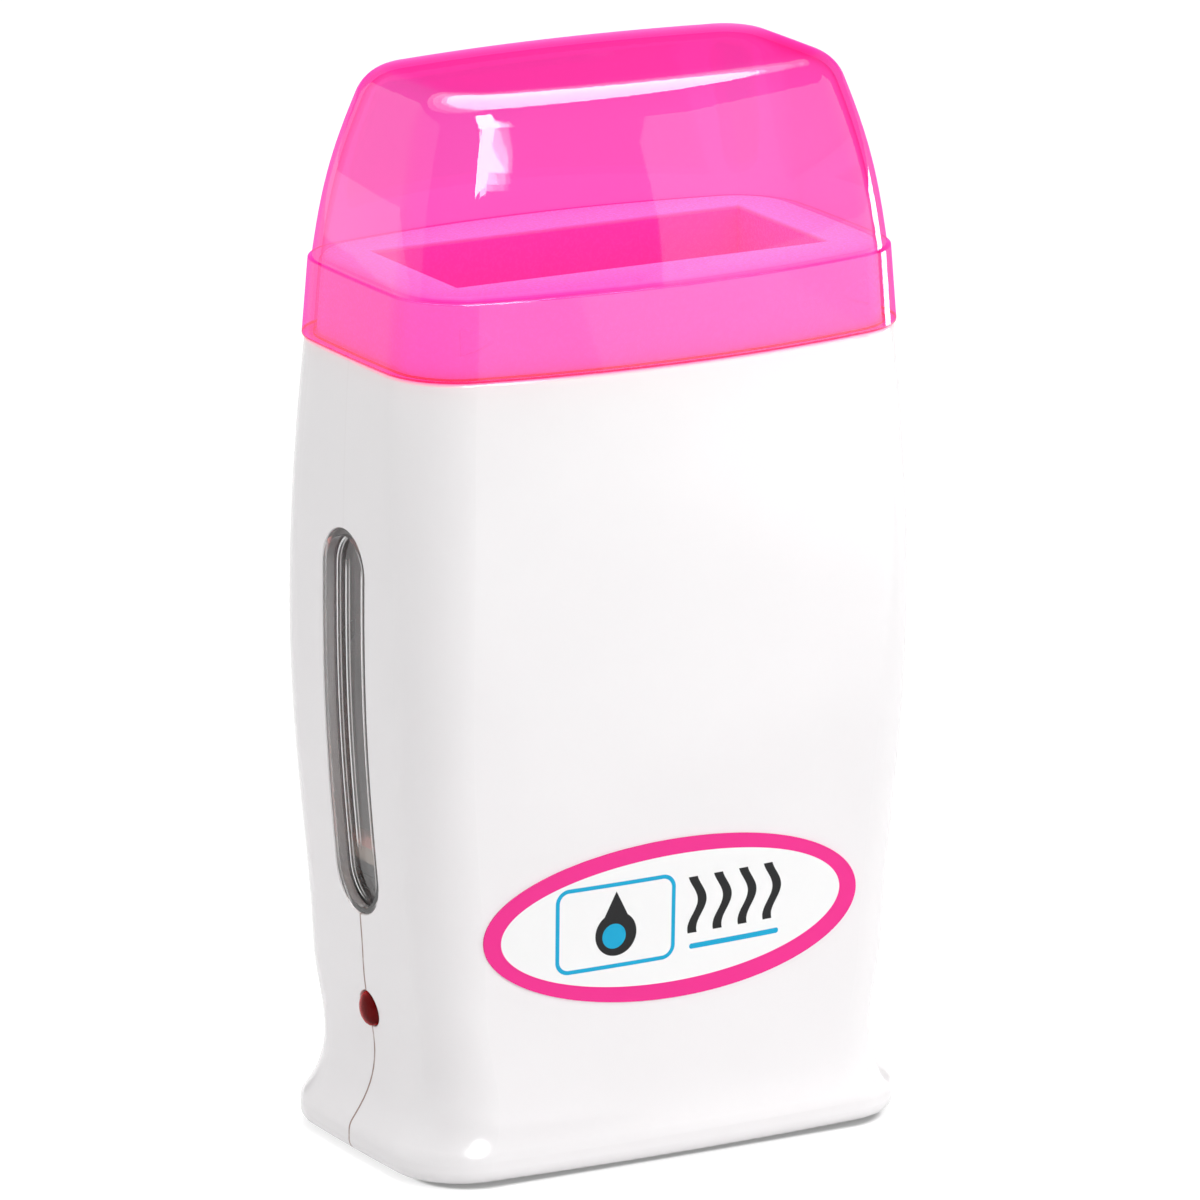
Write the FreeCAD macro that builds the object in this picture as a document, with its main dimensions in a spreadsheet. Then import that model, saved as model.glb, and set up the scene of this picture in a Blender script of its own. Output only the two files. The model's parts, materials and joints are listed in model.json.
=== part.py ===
# Roll-on wax heater: a white two-part housing with an aluminium cartridge well, a heater on each
# well plate, a lift-off transparent lid, two level windows and a pilot lamp.
# Units are millimetres. +Z is up, the front (badge) face looks along -Y, and the origin is at the
# centre of the base, on the surface that the feet stand on.
import FreeCAD, Part
import Sketcher
import math
import os

doc = FreeCAD.newDocument("roll_on_wax_heater")
dim = doc.addObject("Spreadsheet::Sheet", "dim")
node_objects = []

SIZES = {
    # housing: half width, half depth and corner radius of the bowed sections, from the base upwards
    "foot_height": 0.8, "crease_z": 6.3, "crease_w": 54.7, "crease_d": 33.0, "crease_corner": 14.8,
    "flare_z": 10.5, "flare_w": 51.8, "flare_d": 31.5, "flare_corner": 14.0,
    "ankle_z": 15, "ankle_w": 49.8, "ankle_d": 31.0, "ankle_corner": 12.4,
    "waist_z": 21, "waist_w": 49.1, "waist_d": 31.0, "waist_corner": 10.9,
    "hip_z": 40, "hip_w": 51.6, "hip_d": 31.9, "hip_corner": 11.3,
    "belly_z": 70, "belly_w": 54.2, "belly_d": 33.7, "belly_corner": 11.9,
    "bulge_z": 108, "bulge_w": 55.8, "bulge_d": 36.0, "bulge_corner": 13.0,
    "chest_z": 135, "chest_w": 55.4, "chest_d": 35.4, "chest_corner": 13.9,
    "shoulder_z": 158, "shoulder_w": 54.3, "shoulder_d": 33.8, "shoulder_corner": 14.7,
    # how much the front and the sides bow at the base and at the shoulder
    "base_front_bow": 0.0016, "base_side_bow": 0.0015,
    "shoulder_front_bow": 0.0050, "shoulder_side_bow": 0.0021,
    "base_edge": 2.6, "crease_edge": 4.0, "shoulder_edge": 0.8, "housing_wall": 2.4,
    "lip_z": 3.2, "lip_opening_w": 46, "lip_opening_d": 24, "lip_corner": 6,
    # lid; its band stands a little proud of the housing
    "lid_proud": 0.55,
    "ledge_z": 173.1, "ledge_w": 53.1, "ledge_d": 32.8, "ledge_corner": 13.9,
    "dome_root_w": 53.0, "dome_root_d": 32.6, "dome_low_z": 182, "dome_low_w": 51.8, "dome_low_d": 31.4,
    "dome_mid_z": 192, "dome_mid_w": 49.9, "dome_mid_d": 29.4,
    "dome_high_z": 202, "dome_high_w": 47.1, "dome_high_d": 26.6,
    "top_z": 210.6, "top_w": 44.2, "top_d": 24.1, "top_edge": 8.6, "top_corner": 13.0,
    "lid_wall": 1.7, "lid_cavity_z": 172.4, "lid_edge": 0.3,
    "gate_x": 1.3, "gate_y": 2.6, "gate_radius": 3.2, "gate_depth": 0.2,
    # collar that carries the lid and frames the mouth; its skirt goes down inside the housing wall
    "collar_gap": 0.6, "skirt_gap": 0.15, "collar_bottom_z": 150, "collar_top_z": 173.8,
    "collar_wall": 2.2, "collar_edge": 1.2,
    "mouth_w": 40.5, "mouth_d": 17.65, "mouth_wall": 2.0, "mouth_edge": 0.5,
    "bead_x": 41, "bead_z": 165.2, "bead_length": 6.8, "bead_proud": 0.3, "bead_radius": 3.0,
    # level windows
    "window_z": 86.5, "window_length": 76.6, "window_width": 17.1, "window_fit": 0.15,
    "window_recess": 0.25, "window_border": 1.2, "window_pane_recess": 2.4, "window_back": 4.2,
    "window_flange": 3.0, "hole_edge": 0.25,
    # pilot lamp
    "lens_z": 29.0, "lens_hole": 3.6, "lens_radius": 3.5, "lens_face_x": 49.9, "lens_dome": 1.8,
    "lens_back_x": 45.2, "lens_flange_x": 46.4, "lens_flange": 4.9, "lens_bore": 2.9,
    "lens_bore_x": 48.9, "lamp_radius": 2.5, "lamp_flange": 2.85, "lamp_tip_x": 48.6,
    "board_x": 40, "board_thick": 1.6, "board_width": 16, "board_low_z": 20, "board_high_z": 38,
    "resistor_radius": 1.2, "resistor_length": 6.4, "resistor_lead": 0.3, "resistor_pitch": 9,
    # badge on the front
    "badge_x": -0.95, "badge_z": 48.6, "badge_w": 40.85, "badge_h": 16.1, "badge_thick": 0.3,
    # cartridge well
    "plate_wall": 1.5, "well_gap": 18, "well_floor_z": 60, "floor_thick": 3, "floor_w": 47.5,
    "floor_margin": 1.5,
    # heaters on the well plates, with their clamps
    "heater_w": 30, "heater_h": 20, "heater_thick": 4, "heater_z": 95, "clamp_sheet": 1.0,
    "clamp_height": 12, "clamp_foot": 9, "clamp_screw_head": 2.4, "clamp_screw_head_thick": 1.5,
    "clamp_screw_radius": 1.2, "clamp_screw_gap": 0.05, "clamp_screw_x": 21.5,
    # thermostat
    "thermostat_z": 130, "thermostat_radius": 8, "thermostat_height": 7.6, "thermostat_ear_x": 12,
    "thermostat_ear_radius": 3.4, "thermostat_sheet": 0.8, "tab_x": 4, "tab_w": 4, "tab_end_z": 115,
    "tab_y": 25.6, "tab_thick": 0.8,
    # base plate, feet, terminal block
    "plate_half_w": 50.8, "plate_half_d": 28.4, "plate_corner": 11.2, "plate_thick": 2.0,
    "vent_length": 26, "vent_width": 3, "vent_pitch": 6, "vent_y": -10,
    "foot_x": 38, "foot_y": 17, "foot_radius": 5.5, "foot_neck": 2.4, "foot_barb": 3.2,
    "block_w": 22, "block_d": 12, "block_h": 12, "block_y": 8, "block_screw_radius": 1.6,
    "block_pole_x": 7,
    # housing screws and their pillars
    "upper_screw_x": 47, "upper_screw_z": 140, "lower_screw_x": 30, "lower_screw_z": 16,
    "pillar_radius": 4.2, "counterbore": 2.9, "screw_seat_y": 5, "screw_head": 2.6,
    "screw_head_thick": 2.0, "screw_radius": 1.45, "screw_hole": 1.5, "screw_tip_y": -9,
    "screw_slot": 0.7,
    # ribs inside the housing
    "rib_thick": 2.4, "rib_x": 36, "rib_low_z": 24, "rib_under_floor_y": 12, "rib_upper_z": 120,
    "rib_gap": 0.25,
    # gland for the mains lead
    "gland_z": 28, "gland_bore": 3.1, "gland_stem": 4.95, "gland_flange": 7.1, "gland_lip": 5.9,
    "gland_seat_y": 31.0, "gland_flange_thick": 2.0, "gland_lip_y": 28.2, "gland_end_y": 24.0,
    # internal leads
    "mains_lead_radius": 1.2, "heater_lead_radius": 1.0, "lamp_lead_radius": 0.8,
}


def fill_sheet():
    for row, (alias, value) in enumerate(SIZES.items(), start=1):
        dim.set(f"A{row}", alias)
        dim.set(f"B{row}", str(value))
        dim.setAlias(f"B{row}", alias)
    doc.recompute()


def size(alias):
    return float(dim.get(alias))


def value(expression):
    """The number that a sheet expression gives now."""
    return float(dim.evalExpression(expression))


def node(label, thing):
    """Registers an object as one sub-part and names its file."""
    thing.Label = label
    node_objects.append(thing)
    return thing


def solid_node(label, shape):
    """A sub-part whose shape is worked out below from the sheet."""
    feature = doc.addObject("Part::Feature", label + "_solid")
    feature.Shape = shape
    return node(label, feature)


# ---------------------------------------------------------------- bound primitives

def bind(thing, **expressions):
    for name, expression in expressions.items():
        thing.setExpression(name.replace("__", "."), str(expression))
    return thing


def block(name, low, high):
    """A box between two corners, each coordinate a sheet expression."""
    box = doc.addObject("Part::Box", name)
    spans = [f"({b}) - ({a})" for a, b in zip(low, high)]
    return bind(box, Length=spans[0], Width=spans[1], Height=spans[2], Placement__Base__x=low[0],
                Placement__Base__y=low[1], Placement__Base__z=low[2])


TURNS = {"x": FreeCAD.Rotation(FreeCAD.Vector(0, 1, 0), 90),
         "y": FreeCAD.Rotation(FreeCAD.Vector(1, 0, 0), -90),
         "z": FreeCAD.Rotation()}


def rod(name, along, start, radius, length):
    """A cylinder that runs in the + direction of one axis from its start point."""
    cylinder = doc.addObject("Part::Cylinder", name)
    cylinder.Placement = FreeCAD.Placement(FreeCAD.Vector(), TURNS[along])
    return bind(cylinder, Radius=radius, Height=length, Placement__Base__x=start[0],
                Placement__Base__y=start[1], Placement__Base__z=start[2])


def fuse(name, things):
    joined = doc.addObject("Part::MultiFuse", name)
    joined.Shapes = things
    return joined


def cut(name, base, tools):
    result = doc.addObject("Part::Cut", name)
    result.Base = base
    result.Tool = tools[0] if len(tools) == 1 else fuse(name + "_tools", tools)
    return result


def group(name, things):
    gathered = doc.addObject("Part::Compound", name)
    gathered.Links = things
    return gathered


# ---------------------------------------------------------------- part design bodies

def origin_plane(body, role):
    return next(item for item in body.Origin.OriginFeatures if item.Role == role)


def outline_sketch(body, role, corners):
    """A closed outline on one of the body's own planes; every corner is held by expressions."""
    sketch = body.newObject("Sketcher::SketchObject", body.Name + "_sketch")
    sketch.AttachmentSupport = (origin_plane(body, role), "")
    sketch.MapMode = "FlatFace"
    points = [FreeCAD.Vector(value(a), value(b), 0) for a, b in corners]
    for index, point in enumerate(points):
        sketch.addGeometry(Part.LineSegment(point, points[(index + 1) % len(points)]))
    hold_corners(sketch, corners)
    return sketch


def hold_corners(sketch, corners):

    count = len(corners)
    for index, (across, up) in enumerate(corners):
        sketch.addConstraint(Sketcher.Constraint("Coincident", index, 2, (index + 1) % count, 1))
        for kind, expression in (("DistanceX", across), ("DistanceY", up)):
            number = value(expression)
            place = sketch.addConstraint(Sketcher.Constraint(kind, -1, 1, index, 1, number))
            sketch.setExpression(f"Constraints[{place}]", expression)


def turned_body(label, corners, place, turn):
    """A body of revolution about its own Z axis, then placed. Corners are (radius, height)."""
    body = doc.addObject("PartDesign::Body", label + "_body")
    sketch = outline_sketch(body, "XZ_Plane", corners)
    turning = body.newObject("PartDesign::Revolution", label + "_turning")
    turning.Profile = sketch
    turning.ReferenceAxis = (sketch, ["V_Axis"])
    turning.Angle = 360
    body.Tip = turning
    body.Placement = FreeCAD.Placement(FreeCAD.Vector(), turn)
    bind(body, Placement__Base__x=place[0], Placement__Base__y=place[1], Placement__Base__z=place[2])
    return body


def padded_body(label, role, corners, length, midplane=False):
    """A body padded from an outline on one of its planes."""
    body = doc.addObject("PartDesign::Body", label + "_body")
    sketch = outline_sketch(body, role, corners)
    pad = body.newObject("PartDesign::Pad", label + "_pad")
    pad.Profile = sketch
    pad.Midplane = midplane
    pad.setExpression("Length", length)
    body.Tip = pad
    return body


# ---------------------------------------------------------------- bowed sections and lofts

def bowed_section(z, half_w, half_d, front_bow, side_bow, corner):
    """Closed outline of eight tangent arcs: four gently bowed sides and four round corners."""
    front_r, side_r = 1 / front_bow, 1 / side_bow
    front_centre = FreeCAD.Vector(0, half_d - front_r, z)
    side_centre = FreeCAD.Vector(half_w - side_r, 0, z)
    gap = side_centre - front_centre
    reach_a, reach_b = front_r - corner, side_r - corner
    along = (reach_a ** 2 - reach_b ** 2 + gap.Length ** 2) / (2 * gap.Length)
    off = math.sqrt(reach_a ** 2 - along ** 2)
    unit = gap / gap.Length
    centre = front_centre + unit * along + FreeCAD.Vector(-unit.y, unit.x, 0) * off
    if centre.x < 0 or centre.y < 0:
        centre = front_centre + unit * along - FreeCAD.Vector(-unit.y, unit.x, 0) * off
    to_front, to_side = (centre - front_centre) / reach_a, (centre - side_centre) / reach_b
    on_front, on_side = front_centre + to_front * front_r, side_centre + to_side * side_r
    bisector = (to_front + to_side) / (to_front + to_side).Length
    middle = centre + bisector * corner

    def mirrored(point, sx, sy):
        return FreeCAD.Vector(point.x * sx, point.y * sy, z)

    arcs = [(mirrored(on_front, -1, 1), FreeCAD.Vector(0, half_d, z), on_front),
            (on_front, middle, on_side),
            (on_side, FreeCAD.Vector(half_w, 0, z), mirrored(on_side, 1, -1)),
            (mirrored(on_side, 1, -1), mirrored(middle, 1, -1), mirrored(on_front, 1, -1)),
            (mirrored(on_front, 1, -1), FreeCAD.Vector(0, -half_d, z), mirrored(on_front, -1, -1)),
            (mirrored(on_front, -1, -1), mirrored(middle, -1, -1), mirrored(on_side, -1, -1)),
            (mirrored(on_side, -1, -1), FreeCAD.Vector(-half_w, 0, z), mirrored(on_side, -1, 1)),
            (mirrored(on_side, -1, 1), mirrored(middle, -1, 1), mirrored(on_front, -1, 1))]
    return Part.Wire([Part.Arc(*points).toShape() for points in arcs])


HOUSING_STATIONS = ["crease", "flare", "ankle", "waist", "hip", "belly", "bulge", "chest", "shoulder"]


def blended(z, what):
    """A section value that runs evenly from the base to the shoulder."""
    share = (z - size("crease_z")) / (size("shoulder_z") - size("crease_z"))
    return size("base_" + what) * (1 - share) + size("shoulder_" + what) * share


def housing_section(station, inset):
    z = size(station + "_z")
    return bowed_section(z, size(station + "_w") - inset, size(station + "_d") - inset,
                         blended(z, "front_bow"), blended(z, "side_bow"), size(station + "_corner") - inset)


def housing_form(inset):
    """The housing above its base rim, drawn in by an inset (a negative inset grows it)."""
    return Part.makeLoft([housing_section(name, inset) for name in HOUSING_STATIONS], True, False)


def base_rim(inset, low_z):
    """The upright rim below the crease, down to a given height."""
    z = size("crease_z")
    top = housing_section("crease", inset)
    return Part.Face(top).extrude(FreeCAD.Vector(0, 0, low_z - z))


def level_edges(shape, z, tolerance=0.01):
    return [edge for edge in shape.Edges
            if abs(edge.BoundBox.ZMin - z) < tolerance and abs(edge.BoundBox.ZMax - z) < tolerance]


def outer_housing():
    low = size("foot_height")
    rim = base_rim(0, low)
    rim = rim.makeFillet(size("base_edge"), level_edges(rim, low))
    form = housing_form(0)
    form = form.makeFillet(size("shoulder_edge"), level_edges(form, size("shoulder_z")))
    whole = form.fuse(rim)
    return whole.makeFillet(size("crease_edge"), level_edges(whole, size("crease_z")))


def stadium(half_width, length, near_x, far_x, z):
    """Upright slot shape, extruded along X."""
    straight = length / 2 - half_width
    points = {key: FreeCAD.Vector(near_x, y, z + up) for key, (y, up) in {
        "a": (-half_width, -straight), "b": (-half_width, straight), "top": (0, length / 2),
        "c": (half_width, straight), "d": (half_width, -straight), "low": (0, -length / 2)}.items()}
    edges = [Part.makeLine(points["a"], points["b"]),
             Part.Arc(points["b"], points["top"], points["c"]).toShape(),
             Part.makeLine(points["c"], points["d"]),
             Part.Arc(points["d"], points["low"], points["a"]).toShape()]
    return Part.Face(Part.Wire(edges)).extrude(FreeCAD.Vector(far_x - near_x, 0, 0))


def box_between(low, high):
    span = FreeCAD.Vector(*high) - FreeCAD.Vector(*low)
    return Part.makeBox(span.x, span.y, span.z, FreeCAD.Vector(*low))


def screw_places():
    upper = [(side * size("upper_screw_x"), size("upper_screw_z")) for side in (-1, 1)]
    lower = [(side * size("lower_screw_x"), size("lower_screw_z")) for side in (-1, 1)]
    return upper + lower


FAR = 80  # beyond every face of the housing


def cylinder_y(x, z, radius, low_y, high_y):
    return Part.makeCylinder(radius, high_y - low_y, FreeCAD.Vector(x, low_y, z),
                             FreeCAD.Vector(0, 1, 0))


def rib_boxes():
    """Ribs that carry the well floor, steady the well plates and hold the lamp board."""
    half = size("rib_thick") / 2
    well_back = size("mouth_d") + size("plate_wall") + size("rib_gap")
    floor_z = size("well_floor_z") - size("floor_thick")
    boxes = []
    for x in (-size("rib_x"), size("rib_x")):
        for side in (-1, 1):
            for near_y, low_z, high_z in ((size("rib_under_floor_y"), size("rib_low_z"), floor_z),
                                          (well_back, size("rib_upper_z"), size("collar_bottom_z"))):
                ends = sorted((side * near_y, side * FAR))
                boxes.append(box_between((x - half, ends[0], low_z), (x + half, ends[1], high_z)))
    board_middle = -size("board_x") + size("board_thick") / 2
    for side in (-1, 1):
        ends = sorted((side * size("board_width") / 2, side * FAR))
        boxes.append(box_between((board_middle - 1, ends[0], size("rib_low_z")),
                                 (board_middle + 1, ends[1], size("board_high_z") - 4)))
    return boxes


def housing_holes():
    """Everything that is cut from the finished shell: windows, lamp, gland and screws."""
    width, length = size("window_width") / 2, size("window_length")
    tools = [stadium(width, length, side * 44, side * FAR, size("window_z")) for side in (-1, 1)]
    tools.append(Part.makeCylinder(size("lens_hole"), FAR - 45, FreeCAD.Vector(-FAR, 0, size("lens_z")),
                                   FreeCAD.Vector(1, 0, 0)))
    gland_z, seat = size("gland_z"), size("gland_seat_y")
    tools.append(cylinder_y(0, gland_z, size("gland_stem") + 0.05, 15, FAR))
    tools.append(cylinder_y(0, gland_z, size("gland_flange") + 0.2, seat, FAR))
    for x, z in screw_places():
        tools.append(cylinder_y(x, z, size("screw_hole"), size("screw_tip_y") - 1.5, FAR))
        tools.append(cylinder_y(x, z, size("counterbore"), size("screw_seat_y"), FAR))
    return tools


def whole_housing():
    """Front and rear shells before they are parted."""
    outer = outer_housing()
    wall = size("housing_wall")
    cavity = housing_form(wall).fuse(base_rim(wall, size("lip_z")))
    shell = outer.cut(cavity)
    opening = rounded_prism(size("lip_opening_w"), size("lip_opening_d"), size("lip_corner"), -1,
                            size("lip_z") + 1)
    shell = shell.cut(opening)
    pillars = [cylinder_y(x, z, size("pillar_radius"), -FAR, FAR) for x, z in screw_places()]
    inside = Part.makeCompound(pillars + rib_boxes())
    added = [piece.common(outer) for piece in inside.Solids]
    shell = shell.fuse(added).cut(housing_holes())
    return shell.makeFillet(size("hole_edge"), side_hole_edges(shell))


def side_hole_edges(shell):
    """Outer edges of the window slots and of the lens hole, in both side walls."""
    middle, half = size("window_z"), size("window_length") / 2
    reach = max(half, middle - size("lens_z") + size("lens_hole")) + 0.1
    skin = housing_form(0).Shells[0]
    found = []
    for edge in shell.Edges:
        box = edge.BoundBox
        near = max(abs(box.YMin), abs(box.YMax)) < size("window_width") / 2 + 0.1
        beside = min(abs(box.XMin), abs(box.XMax)) > size("lens_back_x")
        if near and beside and middle - reach < box.ZMin and box.ZMax < middle + half + 0.1:
            points = [edge.valueAt(edge.FirstParameter + share * (edge.LastParameter - edge.FirstParameter))
                      for share in (0.2, 0.5, 0.8)]
            if all(skin.distToShape(Part.Vertex(point))[0] < 0.01 for point in points):
                found.append(edge)
    return found


def rounded_prism(half_w, half_d, corner, low_z, high_z):
    box = box_between((-half_w, -half_d, low_z), (half_w, half_d, high_z))
    upright = [edge for edge in box.Edges if abs(edge.BoundBox.ZLength - (high_z - low_z)) < 0.01
               and edge.BoundBox.XLength < 0.01 and edge.BoundBox.YLength < 0.01]
    return box.makeFillet(corner, upright)


def housing_shells():
    whole = whole_housing()
    front_half = box_between((-FAR, -FAR, -1), (FAR, 0, 200))
    rear_half = box_between((-FAR, 0, -1), (FAR, FAR, 200))
    for label, half in (("front_shell", front_half), ("rear_shell", rear_half)):
        solid_node(label, whole.common(half).removeSplitter())


# ---------------------------------------------------------------- lid and collar

def lid_section(z, half_w, half_d, corner, inset=0):
    return bowed_section(z, half_w - inset, half_d - inset, size("shoulder_front_bow"),
                         size("shoulder_side_bow"), corner - inset)


def lid_band(inset, low_z, high_z):
    """The band that sleeves over the collar, between two heights; it draws in towards the ledge."""
    share = (high_z - size("shoulder_z")) / (size("ledge_z") - size("shoulder_z"))
    top = [size("shoulder_" + key) * (1 - share) + size("ledge_" + key) * share
           for key in ("w", "d", "corner")]
    bottom = [size("shoulder_" + key) for key in ("w", "d", "corner")]
    return Part.makeLoft([lid_section(low_z, *bottom, inset), lid_section(high_z, *top, inset)],
                         True, True)


def lid_dome(inset, low_z):
    """The dome above the ledge, with a rounded edge round its flat top."""
    corners = size("ledge_corner"), size("top_corner")
    root_z, top_z = size("ledge_z"), size("top_z")
    stations = [(low_z, size("dome_root_w"), size("dome_root_d"))]
    stations += [(size(f"dome_{level}_z"), size(f"dome_{level}_w"), size(f"dome_{level}_d"))
                 for level in ("low", "mid", "high")]
    stations.append((top_z, size("top_w"), size("top_d")))
    wires = []
    for z, half_w, half_d in stations:
        share = (z - root_z) / (top_z - root_z)
        corner = corners[0] * (1 - share) + corners[1] * share
        wires.append(lid_section(z, half_w, half_d, corner, inset))
    dome = Part.makeLoft(wires, True, False)
    lowered = dome.common(box_between((-FAR, -FAR, 0), (FAR, FAR, top_z - inset)))
    return lowered.makeFillet(size("top_edge") - inset * 0.8, level_edges(lowered, top_z - inset))


def lid():
    band = lid_band(-size("lid_proud"), size("shoulder_z"), size("ledge_z"))
    band = band.makeFillet(size("lid_edge"), level_edges(band, size("ledge_z")) +
                           level_edges(band, size("shoulder_z")))
    outer = band.fuse(lid_dome(0, size("ledge_z"))).cut(gate_dimple())
    wall = size("lid_wall")
    cavity = lid_band(wall, size("shoulder_z"), size("lid_cavity_z"))
    cavity = cavity.fuse(lid_dome(wall, size("lid_cavity_z") - 0.5))
    solid_node("lid", outer.removeSplitter().cut(cavity))


def gate_dimple():
    """Shallow round hollow in the lid's top where the plastic entered the mould."""
    radius, depth = size("gate_radius"), size("gate_depth")
    ball = (radius ** 2 + depth ** 2) / (2 * depth)
    return Part.makeSphere(ball, FreeCAD.Vector(size("gate_x"), size("gate_y"), size("top_z") + ball - depth))


def collar():
    """White ring inside the lid: skirt, deck, and a rectangular mouth with its own tube."""
    inset = size("lid_wall") + size("collar_gap")
    low, high, shoulder = size("collar_bottom_z"), size("collar_top_z"), size("shoulder_z")
    at_shoulder = [size("shoulder_" + key) for key in ("w", "d", "corner")]

    def skirt(depth):
        return Part.Face(lid_section(shoulder, *at_shoulder, depth)).extrude(
            FreeCAD.Vector(0, 0, low - shoulder))

    upper = lid_band(inset, shoulder, high)
    upper = upper.makeFillet(size("collar_edge"), level_edges(upper, high))
    outside = upper.fuse(skirt(size("housing_wall") + size("skirt_gap"))).removeSplitter()
    wall = size("collar_wall")
    hollow = lid_band(inset + wall, shoulder, high - wall).fuse(skirt(inset + wall))
    mouth_w, mouth_d, tube = size("mouth_w"), size("mouth_d"), size("mouth_wall")
    tube_box = box_between((-mouth_w - tube, -mouth_d - tube, low), (mouth_w + tube, mouth_d + tube, high - 1))
    mouth = box_between((-mouth_w, -mouth_d, low - 1), (mouth_w, mouth_d, high + 1))
    ring = outside.cut(hollow).fuse(tube_box).fuse(snap_beads(outside)).cut(mouth).removeSplitter()
    rim = [edge for edge in level_edges(ring, high) if abs(edge.CenterOfMass.y) < mouth_d + tube
           and edge.Curve.TypeId == "Part::GeomLine"]
    solid_node("top_collar", ring.makeFillet(size("mouth_edge"), rim))


def snap_beads(outside):
    """Four low beads on the long sides that the lid clicks over; their crowns follow the wall."""
    radius, length, z = size("bead_radius"), size("bead_length"), size("bead_z")
    proud = size("bead_proud")
    crown = lid_band(size("lid_wall") + size("collar_gap") - proud, size("shoulder_z"),
                     size("collar_top_z"))
    reach = section_half_depth(outside, size("bead_x"), z) + 2 * proud - radius
    beads = []
    for x in (-size("bead_x"), size("bead_x")):
        for side in (-1, 1):
            start = FreeCAD.Vector(x - length / 2, side * reach, z)
            bar = Part.makeCylinder(radius, length, start, FreeCAD.Vector(1, 0, 0))
            beads.append(bar.common(crown))
    return beads


def section_half_depth(shape, x, z):
    """How far the shape reaches along +Y on the line at this x and z."""
    line = Part.makeLine(FreeCAD.Vector(x, 0, z), FreeCAD.Vector(x, FAR, z))
    return shape.common(line).BoundBox.YMax


# ---------------------------------------------------------------- windows and badge

def window_panes():
    """Clear inserts that follow the side wall, each with a raised border and a flange behind."""
    layers = {name: housing_form(size(alias)) for name, alias in
              (("rim", "window_recess"), ("pane", "window_pane_recess"), ("back", "window_back"))}
    behind_wall = housing_form(size("housing_wall") + 0.05)
    half = size("window_width") / 2 - size("window_fit")
    length, border, flange = size("window_length") - 2 * size("window_fit"), size("window_border"), \
        size("window_flange")
    for label, side in (("left_window", -1), ("right_window", 1)):
        def prism(grow):
            return stadium(half + grow, length + 2 * grow, side * 44, side * FAR, size("window_z"))
        plug = prism(0).common(layers["rim"])
        dish = prism(-border).cut(layers["pane"])
        rear_flange = prism(flange).common(behind_wall)
        pane = plug.cut(dish).fuse(rear_flange).cut(layers["back"])
        solid_node(label, pane.removeSplitter())


def badge():
    """Thin oval plate that lies on the bowed front."""
    ellipse = Part.Ellipse(FreeCAD.Vector(0, 0, 0), size("badge_w"), size("badge_h"))
    face = Part.Face(Part.Wire([ellipse.toShape()]))
    face.rotate(FreeCAD.Vector(), FreeCAD.Vector(1, 0, 0), 90)
    face.translate(FreeCAD.Vector(size("badge_x"), -size("hip_d") + 8, size("badge_z")))
    prism = face.extrude(FreeCAD.Vector(0, -20, 0))
    plate = prism.common(housing_form(-size("badge_thick"))).cut(housing_form(-0.02))
    solid_node("front_badge", plate)


# ---------------------------------------------------------------- pilot lamp

LEFTWARD = FreeCAD.Rotation(FreeCAD.Vector(0, 1, 0), -90)


def dome_corners(radius, start, rise, steps=6):
    """Corners of a domed end as (radius, height) expressions, from the rim to the axis."""
    corners = []
    for step in range(1, steps + 1):
        angle = 90 * step / steps
        across = f"({radius}) * cos({angle} deg)" if step < steps else "0"
        corners.append((across, f"({start}) + ({rise}) * sin({angle} deg)"))
    return corners


def pilot_lamp():
    lens = [("0", "dim.lens_bore_x"), ("dim.lens_bore", "dim.lens_bore_x"),
            ("dim.lens_bore", "dim.lens_back_x"), ("dim.lens_flange", "dim.lens_back_x"),
            ("dim.lens_flange", "dim.lens_flange_x"), ("dim.lens_radius", "dim.lens_flange_x"),
            ("dim.lens_radius", "dim.lens_face_x")]
    lens += dome_corners("dim.lens_radius", "dim.lens_face_x", "dim.lens_dome")
    node("indicator_lens", turned_body("indicator_lens", lens, ("0", "0", "dim.lens_z"), LEFTWARD))
    shaft = "dim.lamp_tip_x - dim.lamp_radius"
    lamp = [("0", "dim.board_x"), ("dim.lamp_flange", "dim.board_x"),
            ("dim.lamp_flange", "dim.board_x + 1"), ("dim.lamp_radius", "dim.board_x + 1"),
            ("dim.lamp_radius", shaft)]
    lamp += dome_corners("dim.lamp_radius", shaft, "dim.lamp_radius")
    node("indicator_lamp", turned_body("indicator_lamp", lamp, ("0", "0", "dim.lens_z"), LEFTWARD))


def lamp_board():
    back = "-dim.board_x + dim.board_thick"
    board = block("board_blank", ("-dim.board_x", "-dim.board_width / 2", "dim.board_low_z"),
                  (back, "dim.board_width / 2", "dim.board_high_z"))
    node("lamp_board", board)
    x, y, middle = f"{back} + dim.resistor_radius + 0.05", "3", "dim.lens_z + 2"
    half, pitch = "dim.resistor_length / 2", "dim.resistor_pitch / 2"
    body = rod("resistor_body", "z", (x, y, f"{middle} - {half}"), "dim.resistor_radius",
               "dim.resistor_length")
    lead = rod("resistor_axis", "z", (x, y, f"{middle} - {pitch}"), "dim.resistor_lead",
               "dim.resistor_pitch")
    legs = [rod(f"resistor_leg_{sign}", "x", (back, y, f"{middle} {mark} {pitch}"),
                "dim.resistor_lead", "dim.resistor_radius + 0.05")
            for sign, mark in (("low", "-"), ("high", "+"))]
    node("lamp_resistor", fuse("resistor", [body, lead] + legs))


# ---------------------------------------------------------------- cartridge well

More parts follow.
